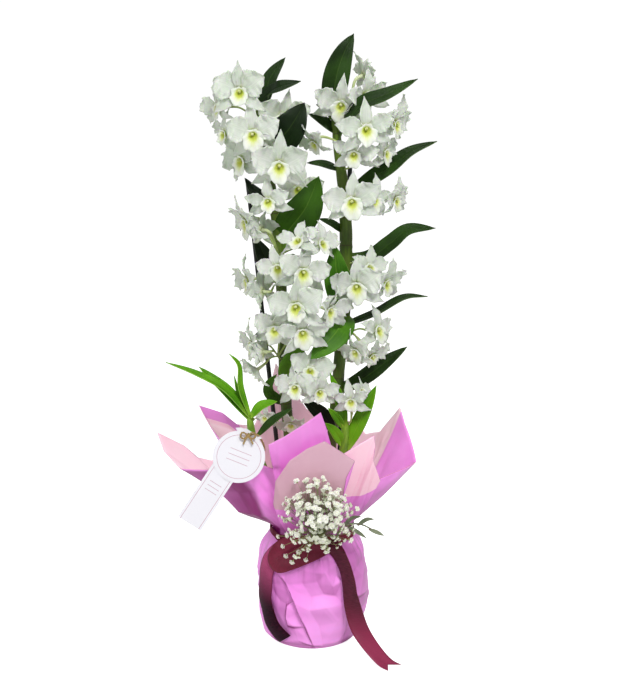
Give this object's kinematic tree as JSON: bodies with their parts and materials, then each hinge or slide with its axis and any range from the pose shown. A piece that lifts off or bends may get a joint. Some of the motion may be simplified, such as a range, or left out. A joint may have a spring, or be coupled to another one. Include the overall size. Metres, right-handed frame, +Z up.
{
  "type": "potted dendrobium orchid",
  "caption": "White dendrobium orchid with upright flowering canes in a pot, gift wrapped in two-tone pink film with ribbon, baby's breath and a blank tag.",
  "frame": {"origin": "middle of the wrapped pot's flat base, on the surface it stands on", "axes": "+Z up along the canes, -Y towards the front where the ribbon is tied, +X to the right as seen from the front"},
  "size_m": [0.3079, 0.2002, 0.6774],
  "materials": {
    "petal": "soft matte",
    "old_leaf": "satin",
    "front_leaf": "satin",
    "young_leaf": "satin",
    "cane": "satin",
    "stake": "matte",
    "pot": "matte",
    "bark": "rough",
    "film_outside": "satin film",
    "film_inside": "satin film",
    "ribbon": "satin",
    "card": "matte card",
    "twine": "rough",
    "breath": "matte",
    "sprig": "matte"
  },
  "bodies": {
    "root": {"cane_left": "cane", "cane_right": "cane", "stake_left": "stake", "stake_right": "stake", "leaf_left_top": "old_leaf", "leaf_left_bent": "old_leaf", "leaf_left_dark": "old_leaf", "leaf_left_large": "front_leaf", "leaf_left_bit": "old_leaf", "leaf_left_shade": "old_leaf", "leaf_left_low": "front_leaf", "leaf_left_round": "front_leaf", "leaf_right_tip": "front_leaf", "leaf_right_arch": "old_leaf", "leaf_right_upper": "old_leaf", "leaf_right_mid": "old_leaf", "leaf_right_lower": "old_leaf", "leaf_right_foot": "old_leaf", "leaf_right_spur": "old_leaf", "leaf_right_stub": "old_leaf", "leaf_right_back": "old_leaf", "leaf_right_inner": "old_leaf", "leaf_front_upper": "front_leaf", "leaf_front_lower": "front_leaf", "leaf_foot_dark": "old_leaf", "shoot_left": "young_leaf", "shoot_right": "young_leaf", "spray_left_1": "petal", "spray_left_2": "petal", "spray_left_3": "petal", "spray_left_4": "petal", "spray_left_5": "petal", "spray_left_6": "petal", "spray_left_7": "petal", "spray_left_8": "petal", "spray_left_9": "petal", "spray_left_10": "petal", "spray_right_1": "petal", "spray_right_2": "petal", "spray_right_3": "petal", "spray_right_4": "petal", "spray_right_5": "petal", "spray_right_6": "petal", "spray_shoot": "petal", "nursery_pot": "pot", "bark": "bark", "wrap_bag": "film_outside", "wrap_collar": "film_inside", "wrap_front_flap": "film_outside", "wrap_right_fold": "film_inside", "wrap_front_fold": "film_inside", "ribbon_band": "ribbon", "ribbon_left_tail": "ribbon", "ribbon_loop": "ribbon", "ribbon_right_tail": "ribbon", "babys_breath": "breath", "sprig": "sprig", "card_round": "card", "card_strip": "card", "twine_bow": "twine"}
  },
  "joints": []
}
